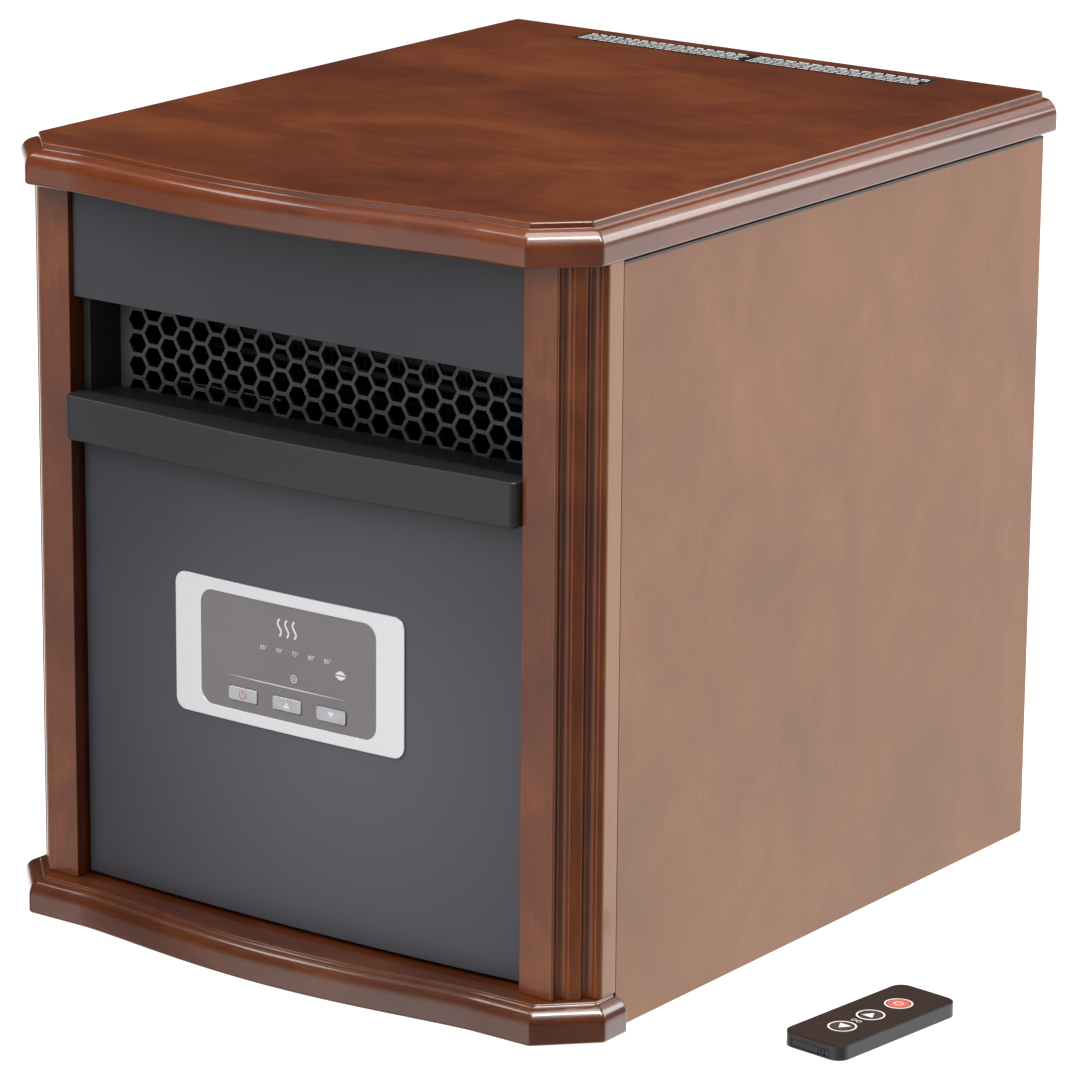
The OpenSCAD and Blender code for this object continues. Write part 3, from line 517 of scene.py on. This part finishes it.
def moulding(node, ledge, step, material):
    """The top or the base: its outline swept up the edge profile, closed by two flat faces."""
    low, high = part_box(node)
    half, back, front = high.x / MM, high.y / MM, low.y / MM + BOW_OUT
    bm = bmesh.new()
    layer = bm.verts.layers.float.new("edge")
    rings = []
    for inset, height, wear in moulding_edge((high.z - low.z) / MM, ledge, step):
        ring = []
        for x, y in moulding_plan(half, back, front, inset):
            vert = bm.verts.new((x * MM, y * MM, low.z + height * MM))
            vert[layer] = wear
            ring.append(vert)
        rings.append(ring)
    for lower, upper in zip(rings, rings[1:]):
        for i in range(len(lower)):
            j = (i + 1) % len(lower)
            bm.faces.new((lower[i], lower[j], upper[j], upper[i]))
    bm.faces.new(rings[0][::-1])
    bm.faces.new(rings[-1])
    piece = finish_mesh(bm, node + "_shape", material, BODY[node], SLOT[node])
    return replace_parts(piece, node)


def post(node, side, material):
    """A front post: a chamfered corner with two flutes, drawn from its plan."""
    low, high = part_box(node)
    inner, outer = (low.x, high.x) if side > 0 else (-high.x, -low.x)
    inner, outer, front, rear = inner / MM, outer / MM, low.y / MM, high.y / MM
    start = Vector((outer - POST_CHAMFER, front))
    run = Vector((1, 1)).normalized()
    inward = Vector((-1, 1)).normalized()
    radius = ((FLUTE_W / 2) ** 2 + FLUTE_DEEP ** 2) / (2 * FLUTE_DEEP)
    reach = math.degrees(math.asin(min(1.0, FLUTE_W / 2 / radius)))
    plan = [(inner, front), tuple(start)]
    for middle in FLUTE_AT:
        for u, v in arc((middle, FLUTE_DEEP - radius), radius, 90 + reach, 90 - reach, 16):
            plan.append(tuple(start + run * u + inward * v))
    plan += [(outer, front + POST_CHAMFER), (outer, rear), (inner, rear)]
    bm = bmesh.new()
    rows = [[bm.verts.new((side * x * MM, y * MM, z)) for x, y in plan] for z in (low.z, high.z)]
    for i in range(len(plan)):
        j = (i + 1) % len(plan)
        bm.faces.new((rows[0][i], rows[0][j], rows[1][j], rows[1][i]))
    bm.faces.new(rows[0])
    bm.faces.new(rows[1])
    bmesh.ops.recalc_face_normals(bm, faces=bm.faces)
    round_edges(bm, 0.55 * MM, 3, 24.0)
    piece = finish_mesh(bm, node + "_shape", material, BODY[node], SLOT[node])
    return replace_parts(piece, node)


# ---------------------------------------------------------------- thin printed marks

def strip(points, width, closed=False, taper=False):
    """A line of a given width through points, as a list of left and right pairs."""
    pairs = []
    count = len(points)
    for i, point in enumerate(points):
        if closed:
            before, after = points[i - 1], points[(i + 1) % count]
        else:
            before, after = points[max(i - 1, 0)], points[min(i + 1, count - 1)]
        way = (Vector(after) - Vector(before)).normalized()
        side = Vector((-way.y, way.x)) * width / 2
        if taper:
            side *= math.sin(math.pi * (0.02 + 0.96 * i / (count - 1)))
        pairs.append((Vector(point) + side, Vector(point) - side))
    return pairs, closed


def ring(centre, radius, width, start=0.0, end=360.0, steps=40):
    """A ring or part of one."""
    points = list(arc(centre, radius, start, end, steps))
    if end - start >= 360:
        return strip(points[:-1], width, closed=True)
    return strip(points, width)


def power_sign(centre, radius, width):
    """A broken ring with a bar in its gap."""
    x, y = centre
    bar = [(x, y + radius * 0.15), (x, y + radius * 1.15)]
    return [ring(centre, radius, width, 125, 415, 32), strip(bar, width)]


def arrow_head(centre, width, height, up):
    """A solid triangle."""
    x, y = centre
    tip = height / 2 if up else -height / 2
    return [(x - width / 2, y - tip), (x + width / 2, y - tip), (x, y + tip)]


def wave(centre, length, swing, width):
    """One rising wavy line of a warm-air sign."""
    x, y = centre
    steps = 24
    points = []
    for i in range(steps + 1):
        t = i / steps
        points.append((x + swing * math.sin(2 * math.pi * t), y + length * (t - 0.5)))
    return strip(points, width)


def leaf(centre, size):
    """A pointed oval with its middle line left out."""
    x, y = centre
    steps = 12
    slit = 0.05
    shapes = []
    for side in (1, -1):
        edge = []
        for i in range(steps + 1):
            t = i / steps
            edge.append((x + size * (t - 0.5), y + side * (slit + 0.3 * math.sin(math.pi * t)) * size))
        back = [(px, y + side * slit * size) for px, _ in reversed(edge)]
        shapes.append(edge + back[1:-1])
    return shapes


def inked(name, shapes, to_row, low, high, material, body, slot):
    """A thin raised print: each shape is an outline or a strip, set from low to high above its surface."""
    bm = bmesh.new()

    def prism(outline):
        floor = [bm.verts.new(to_row(p[0], p[1], low)) for p in outline]
        roof = [bm.verts.new(to_row(p[0], p[1], high)) for p in outline]
        bm.faces.new(floor[::-1])
        bm.faces.new(roof)
        for i in range(len(outline)):
            j = (i + 1) % len(outline)
            bm.faces.new((floor[i], floor[j], roof[j], roof[i]))

    def ribbon(pairs, closed):
        rows = [[bm.verts.new(to_row(p[0], p[1], h)) for p, h in
                 ((left, low), (left, high), (right, high), (right, low))] for left, right in pairs]
        links = list(zip(rows, rows[1:])) + ([(rows[-1], rows[0])] if closed else [])
        for a, b in links:
            for i in range(4):
                j = (i + 1) % 4
                bm.faces.new((a[i], b[i], b[j], a[j]))
        if not closed:
            bm.faces.new(rows[0])
            bm.faces.new(rows[-1][::-1])

    for shape in shapes:
        if isinstance(shape, tuple):
            ribbon(*shape)
        else:
            prism(shape)
    return finish_mesh(bm, name, material, body, slot, 20.0)


def numerals(name, text, centre, size, to_row, low, high, material, body, slot):
    """A small printed number, as a mesh cut from the built-in font."""
    curve = bpy.data.curves.new(name, "FONT")
    curve.body = text
    curve.size = size
    curve.align_x = "CENTER"
    curve.align_y = "CENTER"
    curve.extrude = 0.5
    curve.resolution_u = 3
    writer = bpy.data.objects.new(name + "_text", curve)
    bpy.context.scene.collection.objects.link(writer)
    bpy.context.view_layer.update()
    mesh = bpy.data.meshes.new_from_object(writer.evaluated_get(bpy.context.evaluated_depsgraph_get()))
    bpy.data.objects.remove(writer)
    bm = bmesh.new()
    bm.from_mesh(mesh)
    bpy.data.meshes.remove(mesh)
    bmesh.ops.remove_doubles(bm, verts=bm.verts, dist=1e-4)
    for vert in bm.verts:
        x, y, z = vert.co
        vert.co = to_row(centre[0] + x, centre[1] + y, high if z > 0 else low)
    return finish_mesh(bm, name, material, body, slot, 20.0)


# ---------------------------------------------------------------- the cabinet

def cabinet_wood():
    """Top, base, posts and side panels."""
    top_tones = (tone(80, 32, 8), tone(104, 46, 14), tone(128, 64, 25))
    base_tones = (tone(68, 30, 10), tone(90, 42, 16), tone(116, 62, 30))
    post_tones = (tone(82, 34, 12), tone(110, 52, 20), tone(146, 80, 37))
    # The side panels' tones: the stained veneer's own colour, made lighter in part as painted light from the right
    side_tones_partly_lit = (tone(132, 78, 36), tone(147, 91, 46), tone(162, 105, 57))
    top = stained_wood("wood_top", "X", top_tones, 0.3, 0.7)
    base = stained_wood("wood_base", "X", base_tones, 0.26, 0.9)
    # The posts' outer sides get a paler painted colour, as light falling on them from the right
    upright = stained_wood("wood_post", "Z", post_tones, 0.28, 0.35, side=tone(176, 120, 82))
    # The side panels' material also carries the painted shadow along their top, under the top
    veneer = stained_wood("wood_side", "Z", side_tones_partly_lit, 0.4, 0.3, 17.0, 1.0, gap_shadow=True)
    moulding("top_panel", 7.0, 3.0, top)
    moulding("base_moulding", 6.0, 1.2, base)
    post("front_post_left", -1, upright)
    post("front_post_right", 1, upright)
    for node in ("side_panel_left", "side_panel_right"):
        rounded(node, veneer, 0.3, 3)
    board = bare_board("board")
    for node in ("bottom_panel", "top_cleats", "rear_cleats", "corner_blocks"):
        rounded(node, board, 0.4)


def front_panels():
    """The two steel panels, the outlet and its shelf."""
    steel = painted_steel("steel_dark", tone(48, 47, 52), tone(68, 67, 75))
    plastic = moulded_plastic("plastic_dark", tone(44, 44, 47), tone(54, 54, 57), 0.38)
    inner = moulded_plastic("plastic_recess", tone(22, 22, 24), tone(32, 32, 34), 0.42)
    grille = painted_steel("steel_grille", tone(48, 48, 50), tone(62, 62, 64), 0.32, tone(150, 150, 152))
    rounded("upper_front_panel", steel, 0.5, 3)
    # The lower panel carries a painted sheen, paler round its middle
    lower = painted_steel("steel_lower_painted_sheen", tone(48, 47, 52), tone(66, 65, 73), painted_sheen=True)
    rounded("lower_front_panel", lower, 0.5, 3)
    rounded("outlet_shelf", plastic, 1.0, 4)
    rounded("outlet_frame", inner, 0.4)
    rounded("outlet_grille", grille, 0.25)
    rounded("panel_spacers", rubber("spacer_rubber", tone(22, 22, 23), tone(36, 36, 37)), 0.4)


def control_panel():
    """Bezel, fascia, light guide, buttons and the marks printed on them."""
    middle = sum(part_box("control_bezel"), Vector()) / 2
    fascia_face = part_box("control_fascia")[0].y
    white = printed("ink_white", tone(226, 226, 226), tone(242, 242, 242))
    grey = moulded_plastic("fascia_grey", tone(118, 112, 117), tone(130, 124, 129), 0.3, 3000.0, 0.06, 0.3)
    rounded("control_bezel", silver_paint("silver_bezel"), 0.4, 4)
    rounded("control_fascia", grey, 0.2)
    repaint("indicator_lens", clear_lens("lens_clear"))

    def on_fascia(x, z, out):
        across = middle.x + x * MM
        bow = PANEL_BOW * (across / (PANEL_HALF * MM)) ** 2
        return (across, fascia_face + (bow - out) * MM, middle.z + z * MM)

    marks = [strip([(-35.8 + 70 * i / 40, LINE_Z) for i in range(41)], 0.5, taper=True)]
    marks += [wave((4.0 + dx, -6.4), 1.9, 0.2, 0.28) for dx in (-0.8, 0.0, 0.8)]
    marks += [ring((4.0, -6.4), 1.8, 0.3)]
    marks += leaf((31.5, 0.2), 6.4)
    marks += [wave((dx, 17.0), 8.4, 1.0, 1.0) for dx in (-4.4, 0.0, 4.4)]
    inked("fascia_marks", marks, on_fascia, 0.0, PRINT, white, BODY["control_fascia"], "bezel_silver")
    for x, degrees in zip(NUMBER_X, (65, 70, 75, 80, 85)):
        numerals(f"number_{degrees}", f"{degrees}°", (x, NUMBER_Z), 3.0, on_fascia, 0.0, PRINT,
                 white, BODY["control_fascia"], "bezel_silver")
    faded = printed("ink_faded_red", tone(176, 104, 104), tone(192, 126, 124))
    cap = tinted_cap("button_cap", tone(168, 168, 172), tone(206, 206, 210))
    signs = {
        "button_power": lambda c: power_sign(c, 1.9, 0.45),
        "button_up": lambda c: [arrow_head(c, 4.0, 3.0, True)],
        "button_down": lambda c: [arrow_head(c, 4.0, 3.0, False)],
    }
    for node, sign in signs.items():
        rounded(node, cap, 0.5, 3)
        low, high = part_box(node)
        centre = ((low.x + high.x) / 2 / MM, (low.z + high.z) / 2 / MM)

        def on_button(x, z, out, face=low.y):
            return (x * MM, face - out * MM, z * MM)

        ink = faded if node == "button_power" else white
        inked(node + "_sign", sign(centre), on_button, 0.0, PRINT, ink, BODY[node], "button_silver")


def working_parts():
    """Finishes of the parts inside and under the cabinet, which keep their CAD shape."""
    zinc = metal("zinc_sheet", tone(150, 153, 156), tone(190, 192, 194), 0.38, spangle=90.0)
    bright = metal("bright_steel", tone(160, 161, 163), tone(205, 206, 208), 0.24, (60.0, 1200.0, 1200.0))
    # The fins are aluminium painted dark, as painted shade deep inside the duct
    fins = metal("fin_aluminium", tone(44, 44, 46), tone(64, 64, 66), 0.45, (900.0, 60.0, 900.0))
    lip = metal("lip_steel", tone(232, 233, 234), tone(250, 250, 251), 0.3, (60.0, 1200.0, 1200.0))
    grey = moulded_plastic("plastic_grey", tone(70, 71, 73), tone(86, 87, 89), 0.45)
    ivory = moulded_plastic("nylon_ivory", tone(222, 214, 192), tone(236, 229, 210), 0.42)
    green = circuit_board("circuit_board")
    # The duct, lip and heater frame: galvanised sheet painted dark, as painted shade inside the cabinet
    shaded_sheet = metal("sheet_painted_shade", tone(44, 45, 47), tone(62, 63, 65), 0.5, spangle=90.0)
    finishes = {
        "air_duct": shaded_sheet, "airflow_lip": shaded_sheet, "heater_frame": shaded_sheet,
        "blower_scroll": zinc, "blower_inlet_plate": zinc,
        "motor_bracket": zinc, "blower_stand": zinc, "blower_motor": bright, "blower_shaft": bright,
        "blower_wheel": moulded_plastic("wheel_black", tone(30, 30, 32), tone(44, 44, 46), 0.4),
        "ceramic_bars": ceramic("ceramic_bars_grey"), "heater_fins": fins,
        "thermal_cutoff": moulded_plastic("phenolic_brown", tone(104, 66, 40), tone(126, 84, 54), 0.45),
        "control_housing": grey, "tip_switch": grey, "control_board": green, "power_board": green,
        "terminal_block": ivory, "tip_plunger": ivory,
        "wiring": rubber("wire_red", tone(140, 30, 24), tone(170, 44, 34)),
        "glide_pads": rubber("pad_black", tone(24, 24, 25), tone(38, 38, 39)),
    }
    for node, material in finishes.items():
        repaint(node, material)

    # The lip's bright edge is a strip of its own
    low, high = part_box("airflow_lip")

    def on_lip(x, z, out):
        return (x * MM, low.y - out * MM, high.z + z * MM)

    left, right = low.x / MM + 0.5, high.x / MM - 0.5
    # A band of pale steel along the lip's front edge, against its darkened sheet
    bright_band = [(left, -0.9), (right, -0.9), (right, -0.1), (left, -0.1)]
    inked("airflow_lip_edge", [bright_band], on_lip, 0.0, PRINT, lip, BODY["airflow_lip"], SLOT["airflow_lip"])


def rear():
    """Rear panel, filter cassette, bushing and screws."""
    steel = painted_steel("steel_rear", tone(40, 40, 42), tone(50, 50, 52), 0.46)
    plastic = moulded_plastic("plastic_filter", tone(34, 34, 36), tone(44, 44, 46), 0.42)
    rounded("rear_panel", steel, 0.3)
    rounded("filter_grid", plastic, 0.45)
    rounded("filter_frame", plastic, 0.45)
    rounded("filter_foam", open_foam("foam_black"), 0.6)
    rounded("cord_bushing", rubber("bushing_black", tone(20, 20, 21), tone(34, 34, 35)), 0.4)
    rounded("rear_screws", metal("screw_steel", tone(150, 150, 152), tone(196, 196, 198), 0.28), 0.2)


def warning_strip():
    """The thin black strip on the top, with plain pale bars where its two columns of print would be."""
    low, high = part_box("warning_strip")
    rounded("warning_strip", printed("strip_black", tone(20, 20, 21), tone(30, 30, 31), 0.32), 0.05, 1)
    pale = printed("ink_pale", tone(196, 196, 194), tone(224, 224, 222))

    def on_strip(x, y, out):
        return (x * MM, low.y + y * MM, high.z + out * MM)

    bars = []
    depth = (high.y - low.y) / MM
    for start, end in ((low.x / MM + 2, -3.0), (1.0, high.x / MM - 2)):
        for row in range(5):
            y = depth * (0.86 - 0.18 * row)
            tall = 0.85 if row == 0 else 0.6
            x = start
            step = 0
            while x < end - 3:
                length = 3.4 + 3.6 * abs(math.sin(3.1 * step + 1.7 * row + start))
                last = min(x + length, end)
                bars.append([(x, y - tall), (last, y - tall), (last, y + tall), (x, y + tall)])
                x += length + (0.8 if row else 1.6)
                step += 1
    # The film is the highest part of the CAD box, so the ink on it is only a skin
    inked("strip_bars", bars, on_strip, -STRIP_PRINT, STRIP_PRINT, pale, BODY["warning_strip"], "strip_black")


# ---------------------------------------------------------------- the remote control

def remote():
    """Shells, face film, keys with their signs, battery tray and lamp."""
    shell = moulded_plastic("remote_shell", tone(52, 52, 54), tone(66, 66, 68), 0.36, 3200.0, 0.08)
    film = glossy_film("remote_film", tone(24, 13, 11), tone(34, 20, 17))
    red = moulded_plastic("key_red", tone(206, 84, 66), tone(226, 108, 90), 0.34, 3600.0, 0.05, 0.3)
    dark = moulded_plastic("key_dark", tone(30, 24, 25), tone(42, 34, 35), 0.34, 3600.0, 0.05, 0.3)
    white = printed("ink_remote", tone(226, 224, 222), tone(244, 242, 240))
    rounded("remote_base", shell, 0.7, 3)
    rounded("remote_cover", shell, 0.35, 3)
    rounded("remote_overlay", film, 0.1, 1)
    rounded("remote_tray", shell, 0.25, 2)
    repaint("remote_cell", metal("cell_steel", tone(184, 185, 187), tone(214, 215, 216), 0.2))
    repaint("remote_board", circuit_board("remote_board_green"))
    lamp = moulded_plastic("lamp_dark", tone(34, 16, 28), tone(52, 26, 42), 0.12, 900.0, 0.02, 0.6)
    repaint("remote_emitter", lamp)

    low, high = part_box("remote_overlay")
    centre = (low + high) / 2
    near = next(j for j in frame["joints"] if j["name"] == "battery_tray_slide")["axis"]
    length_way = -Vector(near).normalized()
    width_way = Vector((length_way.y, -length_way.x, 0))

    def on_remote(top):
        def to_row(x, y, out):
            p = centre + width_way * x * MM + length_way * y * MM
            return (p.x, p.y, top + out * MM)
        return to_row

    def key_centre(node):
        a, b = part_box(node)
        offset = (a + b) / 2 - centre
        return (offset.dot(width_way) / MM, offset.dot(length_way) / MM)

    rings = []
    for node, material in (("remote_key_power", red), ("remote_key_up", dark), ("remote_key_down", dark)):
        rounded(node, material, 0.3, 3)
        at = key_centre(node)
        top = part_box(node)[1].z
        if node == "remote_key_power":
            sign = power_sign(at, 2.1, 0.55)
        else:
            sign = [arrow_head(at, 6.6, 5.4, node == "remote_key_up")]
        inked(node + "_sign", sign, on_remote(top), 0.0, KEY_PRINT, white, BODY[node], SLOT[node])
        rings.append(ring(at, 6.35, 0.9, steps=48))
    up, down = key_centre("remote_key_up"), key_centre("remote_key_down")
    middle = ((up[0] + down[0]) / 2, (up[1] + down[1]) / 2)
    rings += [ring((middle[0] + side * 1.5, middle[1]), 1.1, 0.4, steps=24) for side in (-1, 1)]
    inked("remote_rings", rings, on_remote(high.z), 0.0, FILM_PRINT, white, BODY["remote_overlay"],
          "remote_film")


# ---------------------------------------------------------------- stage, lights and camera

def floor():
    """A plain pale floor."""
    bm = bmesh.new()
    bmesh.ops.create_grid(bm, x_segments=8, y_segments=8, size=FLOOR_HALF)
    mesh = bpy.data.meshes.new("floor")
    bm.to_mesh(mesh)
    bm.free()
    f = Finish("floor_white", Emission_Color=(1, 1, 1, 1), Emission_Strength=0.85, Specular_IOR_Level=0.1)
    cloud = f.noise(0.8, 2.0)
    f.done(f.mix(cloud, (0.48, 0.48, 0.48, 1), (0.52, 0.52, 0.52, 1)), f.levels(cloud, 0.3, 0.7, 0.6, 0.7))
    mesh.materials.append(f.material)
    stage = bpy.data.objects.new("floor", mesh)
    stage.location.z = -FLOOR_DROP * MM
    stage.visible_glossy = False
    stage.visible_diffuse = False
    stage.visible_shadow = False
    bpy.context.scene.collection.objects.link(stage)


def towards(azimuth, elevation):
    """The direction of a light. Azimuth 0 is straight in front, 90 is the right side."""
    a, e = math.radians(azimuth), math.radians(elevation)
    return Vector((math.sin(a) * math.cos(e), -math.cos(a) * math.cos(e), math.sin(e)))


def softbox(name, azimuth, elevation, distance, width, height, radiance):
    """A rectangular light that faces the cabinet."""
    aim = Vector((0, 0, 0.2))
    way = towards(azimuth, elevation)
    light = bpy.data.lights.new(name, "AREA")
    light.shape = "RECTANGLE"
    light.size = width
    light.size_y = height
    light.energy = radiance * math.pi * width * height
    lamp = bpy.data.objects.new(name, light)
    lamp.location = aim + way * distance
    lamp.rotation_euler = way.to_track_quat("Z", "Y").to_euler()
    bpy.context.scene.collection.objects.link(lamp)
    return lamp


def surround():
    """A dim studio, with a pale sweep low behind the cabinet, a weaker one in front and a soft glow."""
    world = bpy.data.worlds.new("surround")
    world.use_nodes = True
    tree = world.node_tree
    links = tree.links

    def node(kind, **settings):
        made = tree.nodes.new(kind)
        for key, value in settings.items():
            setattr(made, key, value)
        return made

    def ramp(value, low, high, out_low, out_high):
        made = node("ShaderNodeMapRange", interpolation_type="SMOOTHSTEP")
        links.new(value, made.inputs[0])
        for i, number in enumerate((low, high, out_low, out_high)):
            made.inputs[i + 1].default_value = number
        return made.outputs[0]

    way = node("ShaderNodeSeparateXYZ")
    links.new(node("ShaderNodeTexCoord").outputs["Generated"], way.inputs[0])
    sweep = ramp(way.outputs[1], *SWEEP_FADE, SWEEP_FRONT, SWEEP_BACK)
    below = ramp(way.outputs[2], *HEIGHT_FADE, 0.0, 1.0)
    bright = node("ShaderNodeMath", operation="MULTIPLY_ADD")
    links.new(sweep, bright.inputs[0])
    links.new(below, bright.inputs[1])
    bright.inputs[2].default_value = STUDIO
    glow = node("ShaderNodeVectorMath", operation="DOT_PRODUCT")
    links.new(node("ShaderNodeTexCoord").outputs["Generated"], glow.inputs[0])
    glow.inputs[1].default_value = towards(GLOW_AZIMUTH, GLOW_ELEVATION)
    total = node("ShaderNodeMath", operation="ADD")
    links.new(bright.outputs[0], total.inputs[0])
    links.new(ramp(glow.outputs["Value"], *GLOW_FADE, 0.0, GLOW), total.inputs[1])
    links.new(total.outputs[0], tree.nodes["Background"].inputs["Strength"])
    tree.nodes["Background"].inputs["Color"].default_value = (1, 1, 1, 1)
    bpy.context.scene.world = world


def lights():
    """Softboxes round the cabinet and overhead, and a strip that shows only in glossy edges."""
    softbox("key_right", 132, 30, 2.6, 1.6, 1.6, 6.3)
    front_soft = softbox("front_soft", -12, 38, 2.8, 2.2, 2.0, 4.4)
    front_soft.visible_glossy = False
    softbox("nose_left", -66, 50, 2.6, 0.7, 0.5, 6.0)
    softbox("over", 0, 89, 2.4, 1.6, 1.6, 6.0)
    edge_strip = softbox("edge_strip", 68, 52, 2.4, 0.6, 1.3, 22.0)
    edge_strip.visible_diffuse = False
    softbox("rear_soft", 165, 38, 3.0, 1.6, 1.2, 1.4)


def camera():
    """The photograph's viewpoint."""
    heading, pitch, roll = math.radians(HEADING), math.radians(PITCH), math.radians(ROLL)
    right = Vector((math.cos(heading), math.sin(heading), 0))
    ahead = Vector((-right.y, right.x, 0))
    forward = ahead * math.cos(pitch) + Vector((0, 0, math.sin(pitch)))
    up = right.cross(forward)
    side = right * math.cos(roll) + up * math.sin(roll)
    rise = up * math.cos(roll) - right * math.sin(roll)
    data = bpy.data.cameras.new("camera")
    data.lens = LENS
    data.sensor_width = 36
    data.clip_end = 60
    viewer = bpy.data.objects.new("camera", data)
    viewer.matrix_world = Matrix.Translation(EYE) @ Matrix((side, rise, -forward)).transposed().to_4x4()
    bpy.context.scene.collection.objects.link(viewer)
    bpy.context.scene.camera = viewer


bpy.context.scene.view_settings.view_transform = "Standard"
camera()
floor()
surround()
lights()
cabinet_wood()
front_panels()
control_panel()
working_parts()
rear()
warning_strip()
remote()
